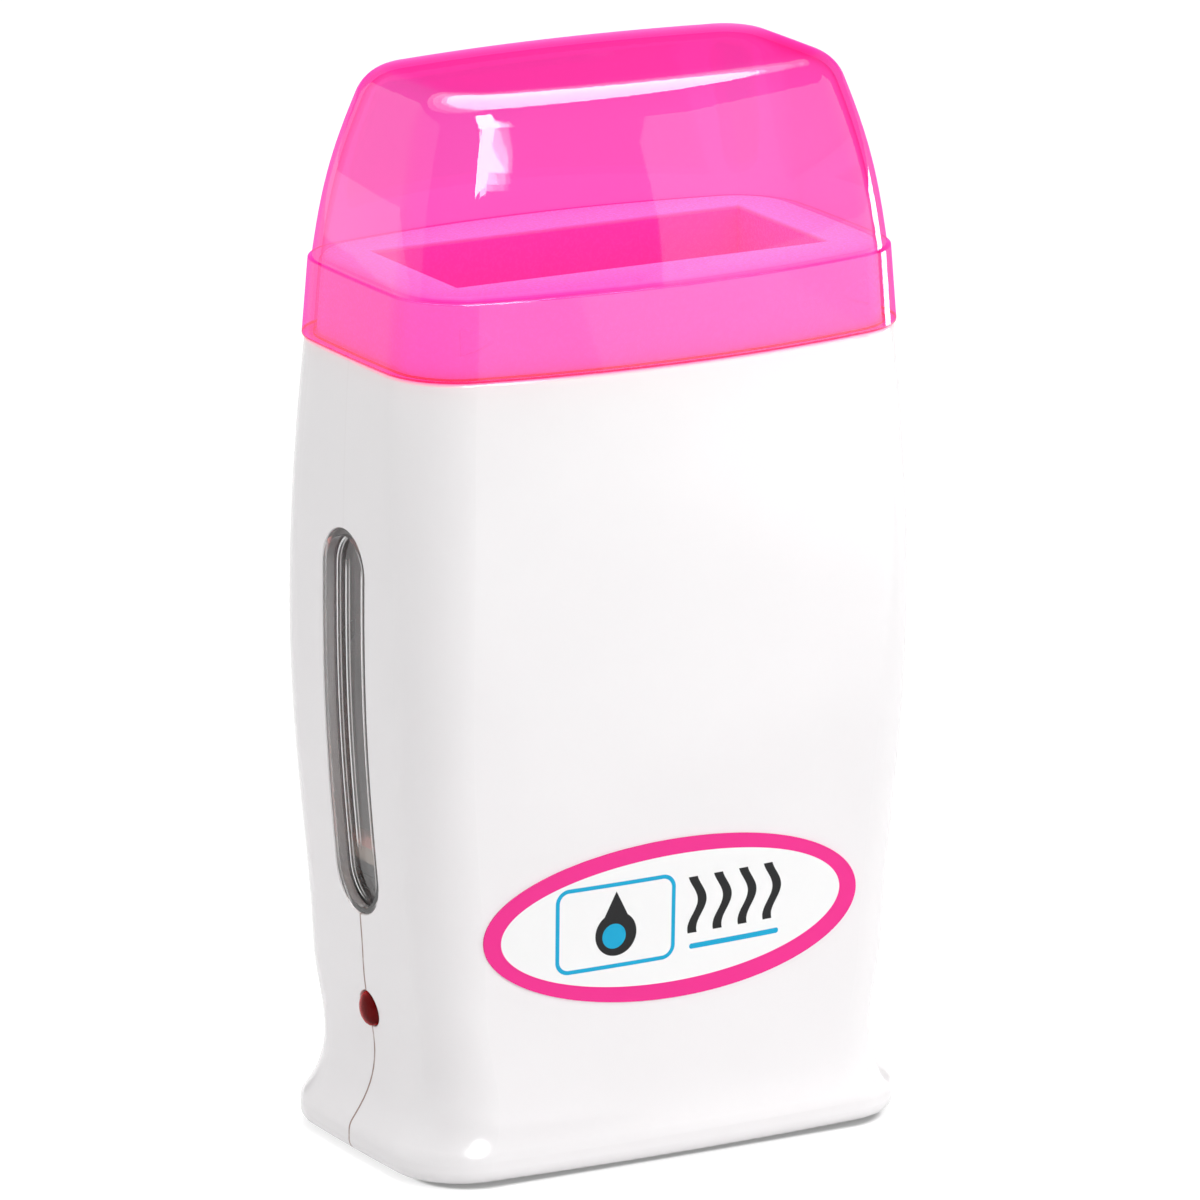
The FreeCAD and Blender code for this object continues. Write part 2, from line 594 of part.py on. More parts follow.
def well_plate(label, side):
    """Half of the well: a web with two short returns, so each end stays open at the window."""
    inner, outer = "dim.mouth_d", "(dim.mouth_d + dim.plate_wall)"
    end, tip = "(dim.mouth_w + dim.plate_wall)", "dim.well_gap / 2"
    corners = [(f"-{end}", tip), (f"-{end}", outer), (end, outer), (end, tip), ("dim.mouth_w", tip),
               ("dim.mouth_w", inner), ("-dim.mouth_w", inner), ("-dim.mouth_w", tip)]
    if side < 0:
        corners = [(x, f"-({y})") for x, y in reversed(corners)]
    body = padded_body(label, "XY_Plane", corners, "dim.collar_bottom_z - dim.well_floor_z")
    bind(body, Placement__Base__z="dim.well_floor_z")
    holes = []
    for index, (x, z) in enumerate(plate_screws(side)):
        start = "dim.mouth_d - 1" if side > 0 else f"-{outer} - 1"
        holes.append(rod(f"{label}_hole_{index}", "y", (x, start, z),
                         "dim.clamp_screw_radius + dim.clamp_screw_gap", "dim.plate_wall + 2"))
    node(label, cut(label + "_drilled", body, holes))


def plate_screws(side):
    """Where small screws enter a well plate: two per clamp, and two for the thermostat behind."""
    places = [(f"{sign}dim.clamp_screw_x", "dim.heater_z") for sign in ("-", "")]
    if side > 0:
        places += [(f"{sign}dim.thermostat_ear_x", "dim.thermostat_z") for sign in ("-", "")]
    return places


def well_floor():
    """Heat-resistant floor under the plates; it reaches out to both windows."""
    half_d = "(dim.mouth_d + dim.plate_wall + dim.floor_margin)"
    low = "dim.well_floor_z - dim.floor_thick"
    slab = block("floor_slab", ("-dim.floor_w", f"-{half_d}", low), ("dim.floor_w", half_d, "dim.well_floor_z"))
    passage = rod("floor_passage", "z", (str(LIVE_RISER[0]), str(LIVE_RISER[1]), f"{low} - 1"),
                  "dim.mains_lead_radius + 0.4", "dim.floor_thick + 2")
    node("well_floor", cut("floor", slab, [passage]))


def heater(label, side):
    """Flat heating element on the back of a well plate, and the hat-shaped clamp over it."""
    face = "(dim.mouth_d + dim.plate_wall)"
    top = f"({face} + dim.heater_thick)"
    ends = (face, top) if side > 0 else (f"-{top}", f"-{face}")
    low_z, high_z = "dim.heater_z - dim.heater_h / 2", "dim.heater_z + dim.heater_h / 2"
    node(label + "_ptc_heater", block(label + "_element", ("-dim.heater_w / 2", ends[0], low_z),
                                      ("dim.heater_w / 2", ends[1], high_z)))
    leg, sheet = "(dim.heater_w / 2 + 1)", "dim.clamp_sheet"
    foot = f"({leg} + dim.clamp_foot)"
    half = [(foot, face), (foot, f"{face} + {sheet}"), (f"{leg} + {sheet}", f"{face} + {sheet}"),
            (f"{leg} + {sheet}", f"{top} + {sheet}")]
    inner = [(leg, top), (leg, face)]
    hat = half + [(f"-({x})", y) for x, y in reversed(half)]
    hat += [(f"-({x})", y) for x, y in reversed(inner)] + inner
    if side < 0:
        hat = [(x, f"-({y})") for x, y in reversed(hat)]
    clamp = padded_body(label + "_clamp", "XY_Plane", hat, "dim.clamp_height", True)
    bind(clamp, Placement__Base__z="dim.heater_z")
    holes = [rod(f"{label}_clamp_hole_{sign}", "y",
                 (f"{mark}dim.clamp_screw_x", f"{face} - 1" if side > 0 else f"-{face} - 3", "dim.heater_z"),
                 "dim.clamp_screw_radius + dim.clamp_screw_gap", "4")
             for sign, mark in (("left", "-"), ("right", ""))]
    node(label + "_ptc_clamp", cut(label + "_clamp_drilled", clamp, holes))


def small_screws():
    """Short screws that hold the two clamps and the thermostat to the well plates."""
    screws = []
    for side, name in ((1, "rear"), (-1, "front")):
        for index, (x, z) in enumerate(plate_screws(side)):
            sheet = "dim.clamp_sheet" if index < 2 else "dim.thermostat_sheet"
            seat = f"(dim.mouth_d + dim.plate_wall + {sheet})"
            reach = f"dim.plate_wall + {sheet} - 0.05"
            head_y, shank_y = (seat, f"{seat} - ({reach})")
            if side < 0:
                head_y, shank_y = (f"-{seat} - dim.clamp_screw_head_thick", f"-{seat}")
            head = rod(f"{name}_head_{index}", "y", (x, head_y, z), "dim.clamp_screw_head",
                       "dim.clamp_screw_head_thick")
            shank = rod(f"{name}_shank_{index}", "y", (x, shank_y, z), "dim.clamp_screw_radius", reach)
            screws.append(fuse(f"{name}_small_screw_{index}", [head, shank]))
    node("well_screws", group("small_screw_set", screws))


def thermostat():
    face = "(dim.mouth_d + dim.plate_wall)"
    can = rod("thermostat_can", "y", ("0", face, "dim.thermostat_z"), "dim.thermostat_radius",
              "dim.thermostat_height")
    ear_r = "dim.thermostat_ear_radius"
    strap = block("thermostat_strap", ("-dim.thermostat_ear_x", face, f"dim.thermostat_z - {ear_r}"),
                  ("dim.thermostat_ear_x", f"{face} + dim.thermostat_sheet", f"dim.thermostat_z + {ear_r}"))
    ears = [rod(f"thermostat_ear_{sign}", "y", (f"{mark}dim.thermostat_ear_x", face, "dim.thermostat_z"),
                ear_r, "dim.thermostat_sheet") for sign, mark in (("left", "-"), ("right", ""))]
    tabs = [block(f"thermostat_tab_{sign}",
                  (f"{mark}dim.tab_x - dim.tab_w / 2", "dim.tab_y", "dim.tab_end_z"),
                  (f"{mark}dim.tab_x + dim.tab_w / 2", "dim.tab_y + dim.tab_thick", "dim.thermostat_z"))
            for sign, mark in (("left", "-"), ("right", ""))]
    holes = [rod(f"thermostat_hole_{sign}", "y", (f"{mark}dim.thermostat_ear_x", f"{face} - 1",
                                                  "dim.thermostat_z"),
                 "dim.clamp_screw_radius + dim.clamp_screw_gap", "4")
             for sign, mark in (("left", "-"), ("right", ""))]
    node("thermostat", cut("thermostat_drilled", fuse("thermostat_blank", [can, strap] + ears + tabs), holes))


# ---------------------------------------------------------------- base, feet, gland, screws

def base_plate():
    """Plate that closes the bottom; it lies on the shells' lips and has vent slots and foot holes."""
    w, d, r = "dim.plate_half_w", "dim.plate_half_d", "dim.plate_corner"
    corners = [(f"-({w} - {r})", f"-{d}"), (f"{w} - {r}", f"-{d}"), (w, f"-({d} - {r})"), (w, f"{d} - {r}"),
               (f"{w} - {r}", d), (f"-({w} - {r})", d), (f"-{w}", f"{d} - {r}"), (f"-{w}", f"-({d} - {r})")]
    body = padded_body("base_plate", "XY_Plane", corners, "dim.plate_thick")
    bind(body, Placement__Base__z="dim.lip_z")
    holes = [rod(f"foot_hole_{name}", "z", (x, y, "dim.lip_z - 1"), "dim.foot_neck", "dim.plate_thick + 2")
             for name, x, y in foot_places()]
    for index in (-1, 0, 1):
        middle = f"{index} * dim.vent_pitch + dim.vent_y"
        holes.append(block(f"vent_{index + 1}",
                           ("-dim.vent_length / 2", f"{middle} - dim.vent_width / 2", "dim.lip_z - 1"),
                           ("dim.vent_length / 2", f"{middle} + dim.vent_width / 2",
                            "dim.lip_z + dim.plate_thick + 1")))
    node("base_plate", cut("base_plate_drilled", body, holes))


def foot_places():
    return [(f"{depth}_{across}", f"{sx}dim.foot_x", f"{sy}dim.foot_y")
            for depth, sy in (("front", "-"), ("rear", "")) for across, sx in (("left", "-"), ("right", ""))]


def feet():
    """Rubber feet, pressed through the base plate and held by a barb above it."""
    top = "dim.lip_z + dim.plate_thick"
    profile = [("0", "0"), ("dim.foot_radius - 0.8", "0"), ("dim.foot_radius", "0.8"),
               ("dim.foot_radius", "dim.lip_z"), ("dim.foot_neck", "dim.lip_z"), ("dim.foot_neck", top),
               ("dim.foot_barb", f"{top} + 0.01"), ("dim.foot_barb - 1.2", f"{top} + 2"), ("0", f"{top} + 2")]
    for name, x, y in foot_places():
        node("foot_" + name, turned_body("foot_" + name, profile, (x, y, "0"), FreeCAD.Rotation()))


def gland():
    """Bush in the rear wall that the mains lead leaves through."""
    outer = "dim.gland_seat_y + dim.gland_flange_thick"
    profile = [("dim.gland_bore", "dim.gland_end_y"), ("dim.gland_lip - 0.8", "dim.gland_end_y"),
               ("dim.gland_lip", "dim.gland_lip_y"), ("dim.gland_stem", "dim.gland_lip_y"),
               ("dim.gland_stem", "dim.gland_seat_y"), ("dim.gland_flange", "dim.gland_seat_y"),
               ("dim.gland_flange", f"{outer} - 0.8"), ("dim.gland_flange - 0.8", outer),
               ("dim.gland_bore", outer)]
    node("cord_gland", turned_body("cord_gland", profile, ("0", "0", "dim.gland_z"), TURNS["y"]))


def housing_screws():
    screws = []
    places = [(f"{sign}dim.{row}_screw_x", f"dim.{row}_screw_z", f"{row}_{side}")
              for row in ("upper", "lower") for side, sign in (("left", "-"), ("right", ""))]
    for x, z, name in places:
        head = rod(f"head_{name}", "y", (x, "dim.screw_seat_y", z), "dim.screw_head", "dim.screw_head_thick")
        shank = rod(f"shank_{name}", "y", (x, "dim.screw_tip_y", z), "dim.screw_radius",
                    "dim.screw_seat_y - dim.screw_tip_y")
        slots = [block(f"slot_{name}_{turn}",
                       (f"{x} - {across} / 2", "dim.screw_seat_y + 1", f"{z} - {up} / 2"),
                       (f"{x} + {across} / 2", "dim.screw_seat_y + 3", f"{z} + {up} / 2"))
                 for turn, across, up in (("flat", "3.4", "dim.screw_slot"), ("upright", "dim.screw_slot", "3.4"))]
        screws.append(cut(f"housing_screw_{name}", fuse(f"screw_blank_{name}", [head, shank]), slots))
    node("housing_screws", group("housing_screw_set", screws))


def terminal_block():
    """Two-pole block on the base plate, with a screw well over each pole."""
    low_z = "dim.lip_z + dim.plate_thick"
    half_w, half_d = "dim.block_w / 2", "dim.block_d / 2"
    base = block("block_base", (f"-{half_w}", f"dim.block_y - {half_d}", low_z),
                 (half_w, f"dim.block_y + {half_d}", f"{low_z} + dim.block_h"))
    waist = block("block_waist", ("-1", f"dim.block_y - {half_d} - 1", f"{low_z} + 4"),
                  ("1", f"dim.block_y + {half_d} + 1", f"{low_z} + dim.block_h + 1"))
    wells = [rod(f"block_well_{sign}", "y", (f"{mark}dim.block_pole_x", f"dim.block_y - {half_d} - 1",
                                             f"{low_z} + 5"), "dim.block_screw_radius", "4")
             for sign, mark in (("left", "-"), ("right", ""))]
    node("terminal_block", cut("block_cut", base, [waist] + wells))


# ---------------------------------------------------------------- internal leads

LIVE_RISER = (-46, 15.5)  # where the live lead passes up through the well floor


def lead(points, radius, bend):
    """A round lead along straight runs joined by tangent arcs."""
    corners = [FreeCAD.Vector(*point) for point in points]
    edges, start = [], corners[0]
    for before, corner, after in zip(corners, corners[1:], corners[2:]):
        come, leave = (before - corner).normalize(), (after - corner).normalize()
        half_turn = (math.pi - come.getAngle(leave)) / 2
        room = 0.48 * min((before - corner).Length, (after - corner).Length)
        arc_radius = min(bend, room / math.tan(half_turn))
        setback = arc_radius * math.tan(half_turn)
        first, last = corner + come * setback, corner + leave * setback
        inward = (come + leave).normalize()
        centre = corner + inward * (arc_radius / math.cos(half_turn))
        middle = centre - inward * arc_radius
        edges += [Part.makeLine(start, first), Part.Arc(first, middle, last).toShape()]
        start = last
    edges.append(Part.makeLine(start, corners[-1]))
    path = Part.Wire(edges)
    direction = (corners[1] - corners[0]).normalize()
    section = Part.Wire([Part.makeCircle(radius, corners[0], direction)])
    tube = path.makePipeShell([section], True, True)
    expected = math.pi * radius ** 2 * path.Length
    print(f"lead: length {path.Length:.1f} mm, volume / expected {tube.Volume / expected:.4f}")
    return tube


def leads():
    """The wiring, run clear of every other piece."""
    top = size("lip_z") + size("plate_thick") + size("block_h")
    pole, middle = size("block_pole_x"), size("block_y")
    behind = size("mouth_d") + size("plate_wall") + size("heater_thick") / 2
    heater_low = size("heater_z") - size("heater_h") / 2
    tab_y = size("tab_y") + size("tab_thick") / 2
    tab_x, tab_z = size("tab_x"), size("tab_end_z")
    mains, thin, lamp = size("mains_lead_radius"), size("heater_lead_radius"), size("lamp_lead_radius")
    x, y = LIVE_RISER
    live = [(-pole, middle, top), (-pole, middle, 42), (-38, middle, 49), (x, y, 51), (x, y, 82),
            (-41, 27, 97), (-tab_x, tab_y, 103), (-tab_x, tab_y, tab_z)]
    solid_node("live_lead", lead(live, mains, 8))
    neutral = [(pole, middle, top), (pole, middle, 34), (4, 24.5, 50), (-8, 24.5, 64),
               (-8, behind, 74), (-8, behind, heater_low)]
    solid_node("neutral_lead", lead(neutral, mains, 8))
    link = [(tab_x, tab_y, tab_z), (tab_x, tab_y, 75), (8, behind, 75), (8, behind, heater_low)]
    solid_node("thermostat_lead", lead(link, thin, 2.9))
    front = [[(side * 3, 4.5, top), (side * 3, 4.5, 30), (side * 8, -23.5, 50), (side * 8, -23.5, 62),
              (side * 8, -behind, 73), (side * 8, -behind, heater_low)] for side in (-1, 1)]
    solid_node("front_heater_leads", Part.makeCompound([lead(run, thin, 8) for run in front]))
    back_x = -size("board_x") + size("board_thick")
    side_x = -size("block_w") / 2
    pair = [[(back_x, side * 3, 25), (-22, side * 3, 25), (-18, middle + side * 3.5, 12),
             (side_x, middle + side * 3.5, 12)] for side in (-1, 1)]
    solid_node("lamp_leads", Part.makeCompound([lead(run, lamp, 4) for run in pair]))


# ---------------------------------------------------------------- build and export

def build():
    fill_sheet()
    housing_shells()
    collar()
    lid()
    window_panes()
    badge()
    pilot_lamp()
    lamp_board()
    well_plate("front_heating_plate", -1)
    well_plate("rear_heating_plate", 1)
    well_floor()
    heater("front", -1)
    heater("rear", 1)
    small_screws()
    thermostat()
    base_plate()
    feet()
    gland()
    housing_screws()
    terminal_block()
    leads()
    doc.recompute()


def check():
    for thing in doc.Objects:
        if "Invalid" in thing.State or "Error" in thing.State:
            raise RuntimeError(f"{thing.Name}: {thing.State}")
    for thing in node_objects:
        if thing.Shape.isNull() or not thing.Shape.isValid() or thing.Shape.Volume <= 0:
            raise RuntimeError(f"{thing.Label}: bad shape")


def export():
    os.makedirs("parts", exist_ok=True)
    for thing in node_objects:
        thing.Shape.exportStep(f"parts/{thing.Label}.step")
        box = thing.Shape.BoundBox
        print(f"{thing.Label:22s} solids {len(thing.Shape.Solids)} volume {thing.Shape.Volume:9.1f} "
              f"x {box.XMin:.1f} {box.XMax:.1f} y {box.YMin:.1f} {box.YMax:.1f} z {box.ZMin:.1f} {box.ZMax:.1f}")


build()
check()
export()
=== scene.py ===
# %% [markdown]
# # A roll-on wax heater
#
# The real object is a tall white moulded case that warms a wax cartridge. A clear pink lid sits on top, a
# long smoky window shows the wax level on each side, a red pilot lamp glows below the window, and an oval
# badge is printed on the front. Each step below makes one piece or one finish. The solids come from the
# engineering model, in metres, with the heater standing on z = 0 and its front towards -Y.

# %% Load the engineering model
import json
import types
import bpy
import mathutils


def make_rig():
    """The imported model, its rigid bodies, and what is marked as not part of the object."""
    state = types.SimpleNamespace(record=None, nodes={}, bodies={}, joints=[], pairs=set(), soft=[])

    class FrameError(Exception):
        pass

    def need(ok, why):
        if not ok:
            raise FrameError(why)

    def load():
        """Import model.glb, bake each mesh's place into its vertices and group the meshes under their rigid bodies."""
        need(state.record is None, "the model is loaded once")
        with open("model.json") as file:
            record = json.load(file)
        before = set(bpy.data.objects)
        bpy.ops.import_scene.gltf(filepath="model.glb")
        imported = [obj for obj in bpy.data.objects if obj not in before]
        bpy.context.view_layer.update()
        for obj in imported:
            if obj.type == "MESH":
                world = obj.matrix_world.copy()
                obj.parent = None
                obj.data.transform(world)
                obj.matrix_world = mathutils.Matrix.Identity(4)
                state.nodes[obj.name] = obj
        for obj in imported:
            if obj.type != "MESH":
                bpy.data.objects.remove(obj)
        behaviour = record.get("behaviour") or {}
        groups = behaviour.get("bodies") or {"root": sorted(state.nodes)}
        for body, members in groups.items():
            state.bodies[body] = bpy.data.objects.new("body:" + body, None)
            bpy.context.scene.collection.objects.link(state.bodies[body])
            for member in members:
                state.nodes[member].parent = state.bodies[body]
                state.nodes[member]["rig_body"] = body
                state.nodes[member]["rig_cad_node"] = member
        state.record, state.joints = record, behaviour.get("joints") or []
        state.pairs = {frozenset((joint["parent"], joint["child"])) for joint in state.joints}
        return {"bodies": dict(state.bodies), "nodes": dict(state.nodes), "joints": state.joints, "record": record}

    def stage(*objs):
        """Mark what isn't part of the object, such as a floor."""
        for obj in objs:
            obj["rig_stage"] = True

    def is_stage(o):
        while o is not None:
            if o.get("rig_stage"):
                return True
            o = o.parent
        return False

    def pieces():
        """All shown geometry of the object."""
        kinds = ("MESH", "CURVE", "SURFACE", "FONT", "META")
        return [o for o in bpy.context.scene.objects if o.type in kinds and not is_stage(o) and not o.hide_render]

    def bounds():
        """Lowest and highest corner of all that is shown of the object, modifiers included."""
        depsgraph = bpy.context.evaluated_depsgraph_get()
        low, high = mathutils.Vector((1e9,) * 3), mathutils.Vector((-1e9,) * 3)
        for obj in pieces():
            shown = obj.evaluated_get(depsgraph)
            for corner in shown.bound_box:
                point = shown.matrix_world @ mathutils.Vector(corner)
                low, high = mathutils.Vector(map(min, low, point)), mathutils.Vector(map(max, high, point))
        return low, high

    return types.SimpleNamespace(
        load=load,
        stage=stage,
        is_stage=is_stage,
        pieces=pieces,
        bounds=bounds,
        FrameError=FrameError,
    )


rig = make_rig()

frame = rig.load()

import json
import math

import bmesh
import bpy
from mathutils import Matrix, Vector

MM = 0.001
solid_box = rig.bounds()
scene = bpy.context.scene
scene.view_settings.view_transform = "Standard"
print("nodes:", len(frame["nodes"]), "bodies:", sorted(frame["bodies"]))

# %% [markdown]
# ## The camera
#
# The heater is seen from its left front corner and a little from above, through a long lens, so that its
# upright edges stay nearly parallel. A long lens far away is chosen over a short one near by, because it
# keeps the true proportions of a tall narrow case.

# %% Camera
EYE = Vector((-1009.69, -1804.46, 659.96)) * MM
AIM = Vector((0.18, -0.10, 103.66)) * MM
LENS, SENSOR, ROLL = 333.9, 36.0, math.radians(0.187)
NEAR, FAR = 0.05, 50

camera = bpy.data.objects.new("camera", bpy.data.cameras.new("camera"))
camera.data.lens, camera.data.sensor_width = LENS, SENSOR
camera.data.clip_start, camera.data.clip_end = NEAR, FAR
camera.rotation_mode = "QUATERNION"
aimed = (AIM - EYE).to_track_quat("-Z", "Y")
camera.rotation_quaternion = aimed @ Matrix.Rotation(ROLL, 3, "Z").to_quaternion()
camera.location = EYE
scene.collection.objects.link(camera)
scene.camera = camera
print("camera stands", round((AIM - EYE).length, 3), "m away")

# %% [markdown]
# ## Sums on sockets
#
# A finish is a small program made of nodes. Writing it as nodes and links is long, so two helpers keep it
# short. A Wire holds one socket, and a sum on it, such as 1 - mask, adds the Math node that does it. A
# Finish is one material, and its node() adds any other node: settings first, then the sockets.


# %% Wire and Finish
class Wire:
    """One output socket of a finish, for use in sums."""

    def __init__(self, finish, socket):
        self.finish, self.socket = finish, socket

    def math(self, operation, *values):
        return self.finish.node("ShaderNodeMath", {"operation": operation}, dict(enumerate(values)))

    def __add__(self, other):
        return self.math("ADD", self, other)

    def __radd__(self, other):
        return self.math("ADD", other, self)

    def __sub__(self, other):
        return self.math("SUBTRACT", self, other)

    def __rsub__(self, other):
        return self.math("SUBTRACT", other, self)

    def __mul__(self, other):
        return self.math("MULTIPLY", self, other)

    def __rmul__(self, other):
        return self.math("MULTIPLY", other, self)

    def __truediv__(self, other):
        return self.math("DIVIDE", self, other)

    def __abs__(self):
        return self.math("ABSOLUTE", self)

    def least(self, other):
        return self.math("MINIMUM", self, other)

    def most(self, other):
        return self.math("MAXIMUM", self, other)

    def sine(self):
        return self.math("SINE", self)

    def root(self):
        return self.math("SQRT", self)

    def step(self, low, high):
        """0 below low, 1 above high, smooth between them. With low above high it falls instead."""
        if low > high:
            return 1 - self.step(high, low)
        settings = {"interpolation_type": "SMOOTHSTEP"}
        sockets = {"Value": self, "From Min": low, "From Max": high}
        return self.finish.node("ShaderNodeMapRange", settings, sockets)


class Finish:
    """One material, made of nodes."""

    def __init__(self, name):
        self.material = bpy.data.materials.new(name)
        self.material.use_nodes = True
        self.nodes, self.links = self.material.node_tree.nodes, self.material.node_tree.links
        self.nodes.clear()
        self.output = self.nodes.new("ShaderNodeOutputMaterial")

    def node(self, kind, settings=None, sockets=None, out=0):
        """Adds a node and gives its output socket out as a Wire."""
        made = self.nodes.new(kind)
        for key, setting in (settings or {}).items():
            setattr(made, key, setting)
        for key, content in (sockets or {}).items():
            if isinstance(content, Wire):
                self.links.new(content.socket, made.inputs[key])
            else:
                made.inputs[key].default_value = content
        return Wire(self, made.outputs[out])

    def place(self):
        """Object coordinates in millimetres: the vector, then x, y and z."""
        metres = self.node("ShaderNodeTexCoord", out="Object")
        millimetres = self.node("ShaderNodeVectorMath", {"operation": "SCALE"}, {0: metres, "Scale": 1 / MM})
        parts = self.node("ShaderNodeSeparateXYZ", {}, {0: millimetres})
        return [millimetres] + [Wire(self, socket) for socket in parts.socket.node.outputs]

    def noise(self, where, scale, detail=2.0, rough=0.5):
        """Cloudy noise from 0 to 1. scale is how many blobs there are to a millimetre."""
        sockets = {"Vector": where, "Scale": scale, "Detail": detail, "Roughness": rough}
        return self.node("ShaderNodeTexNoise", {}, sockets)

    def stretched(self, where, factors):
        """The place with each axis scaled, for grain that runs one way."""
        return self.node("ShaderNodeVectorMath", {"operation": "MULTIPLY"}, {0: where, 1: factors})

    def blend(self, share, first, second):
        """The first colour where share is 0, the second where it is 1."""
        sockets = {0: share, 6: colour(first), 7: colour(second)}
        return self.node("ShaderNodeMix", {"data_type": "RGBA"}, sockets, out=2)

    def relief(self, height, depth, strength=1.0):
        """A normal from a height of 0 to 1 that stands for depth millimetres."""
        sockets = {"Height": height, "Distance": depth * MM, "Strength": strength}
        return self.node("ShaderNodeBump", {}, sockets)

    def surface(self, **sockets):
        """The main shader. Socket names are written with _ for a space."""
        named = {key.replace("_", " "): colour(given) for key, given in sockets.items()}
        return self.node("ShaderNodeBsdfPrincipled", {}, named)

    def show(self, surface, volume=None):
        self.links.new(surface.socket, self.output.inputs["Surface"])
        if volume is not None:
            self.links.new(volume.socket, self.output.inputs["Volume"])
        print("finish:", self.material.name, "with", len(self.nodes), "nodes")
        return self.material


def length(a, b):
    return (a * a + b * b).root()


def box_distance(a, b, half_w, half_h, corner):
    """How far a place is outside a rounded box about the origin, and less than 0 inside it."""
    a, b = abs(a) - (half_w - corner), abs(b) - (half_h - corner)
    return length(a.most(0.0), b.most(0.0)) + a.most(b).least(0.0) - corner


def colour(given):
    """Adds the alpha of 1 to a colour of three numbers, and passes anything else through."""
    return (*given, 1.0) if isinstance(given, tuple) and len(given) == 3 else given


# %% [markdown]
# ## Floor, light and background
#
# The heater stands on a plain white table in a white room. One very large sheet is the floor, so that no
# edge of it shows. It carries a soft shadow, and a little glow lifts it to white where the camera, gloss or
# clear plastic sees it, without adding light to the case. Under the heater, over an area a little smaller
# than its base, the glow is weaker: a painted contact shadow, which makes a dark line where the case meets
# the table.

# %% Floor
FLOOR_HALF = 12.0
FLOOR_WHITE, FLOOR_CLOUDED, FLOOR_GLOW = (0.64, 0.64, 0.64), (0.62, 0.62, 0.62), 0.77
FLOOR_SEEN, FLOOR_ROUGHNESS = (0.28, 0.28, 0.28), 0.75
CONTACT_SHADOW_HALF, CONTACT_SHADOW_CORNER = (51.3, 31.7), 12.0
CONTACT_SHADOW_EDGE, CONTACT_SHADOW_GLOW = (0.2, -1.8), (0.3, 0.3, 0.3)


def floor_finish():
    made = Finish("floor_paper")
    where, x, y, _ = made.place()
    cloud = made.noise(where, 0.004)
    paper = made.surface(Base_Color=made.blend(cloud, FLOOR_CLOUDED, FLOOR_WHITE), Roughness=FLOOR_ROUGHNESS)
    faint = made.surface(Base_Color=FLOOR_SEEN, Roughness=FLOOR_ROUGHNESS)
    seen_by = [made.node("ShaderNodeLightPath", out=ray)
               for ray in ("Is Camera Ray", "Is Glossy Ray", "Is Transmission Ray")]
    # Painted contact shadow: under the heater the glow is weaker.
    painted_contact_shadow = box_distance(x, y, *CONTACT_SHADOW_HALF, CONTACT_SHADOW_CORNER).step(*CONTACT_SHADOW_EDGE)
    glow = made.node("ShaderNodeEmission", {}, {"Color": made.blend(painted_contact_shadow, (1, 1, 1), CONTACT_SHADOW_GLOW),
                                                "Strength": FLOOR_GLOW})
    seen = made.node("ShaderNodeAddShader", {}, {0: faint, 1: glow})
    share = seen_by[0].most(seen_by[1]).most(seen_by[2])
    return made.show(made.node("ShaderNodeMixShader", {}, {0: share, 1: paper, 2: seen}))


def flat_sheet(name, half):
    """A square sheet about the origin, of one face."""
    mesh = bmesh.new()
    bmesh.ops.create_grid(mesh, x_segments=1, y_segments=1, size=half)
    data = bpy.data.meshes.new(name)
    mesh.to_mesh(data)
    mesh.free()
    made = bpy.data.objects.new(name, data)
    scene.collection.objects.link(made)
    print("made", name, "with", len(data.polygons), "face")
    return made


floor = flat_sheet("floor", FLOOR_HALF)
floor.data.materials.append(floor_finish())
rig.stage(floor)

# %% [markdown]
# ## Room light
#
# A plain white world lights the heater from all round. One strength can't suit every use of it, so Light
# Path gives each kind of ray its own: dim in gloss, so that the lamps stand out there, and a full 1 to the
# camera and through clear plastic, which makes the background white.

# %% Room light
ROOM, GLOSS_ROOM, BACKDROP = 0.45, 0.28, 1.0

world = bpy.data.worlds.new("white_room")
scene.world = world
world.use_nodes = True
tree = world.node_tree
tree.nodes.clear()
path = tree.nodes.new("ShaderNodeLightPath")
shown = None
for ray, strength in ((None, ROOM), ("Is Glossy Ray", GLOSS_ROOM), ("Is Transmission Ray", BACKDROP),
                      ("Is Camera Ray", BACKDROP)):
    background = tree.nodes.new("ShaderNodeBackground")
    background.inputs["Color"].default_value = (1, 1, 1, 1)
    background.inputs["Strength"].default_value = strength
    if ray is None:
        shown = background
        continue
    choice = tree.nodes.new("ShaderNodeMixShader")
    tree.links.new(path.outputs[ray], choice.inputs[0])
    tree.links.new(shown.outputs[0], choice.inputs[1])
    tree.links.new(background.outputs[0], choice.inputs[2])
    shown = choice
tree.links.new(shown.outputs[0], tree.nodes.new("ShaderNodeOutputWorld").inputs["Surface"])
print("room light", ROOM, "in gloss", GLOSS_ROOM, "backdrop", BACKDROP)

# %% [markdown]
# ## Softboxes
#
# Studio softboxes are large panels of even light, and each is an area lamp. Two tall panels stand at the
# right and behind the left corner. A front light and a small one overhead only light surfaces. The rest
# only show in gloss: a strip in front, of rows that differ in width and brightness; a small card for the
# right edge; two low sheets that stand for the lit table; and four discs overhead, each wider and dimmer
# than the last, so that the highlight on top fades out. Brightness is what a white card would show if the
# panel filled its view, and the power in watts follows from the area.


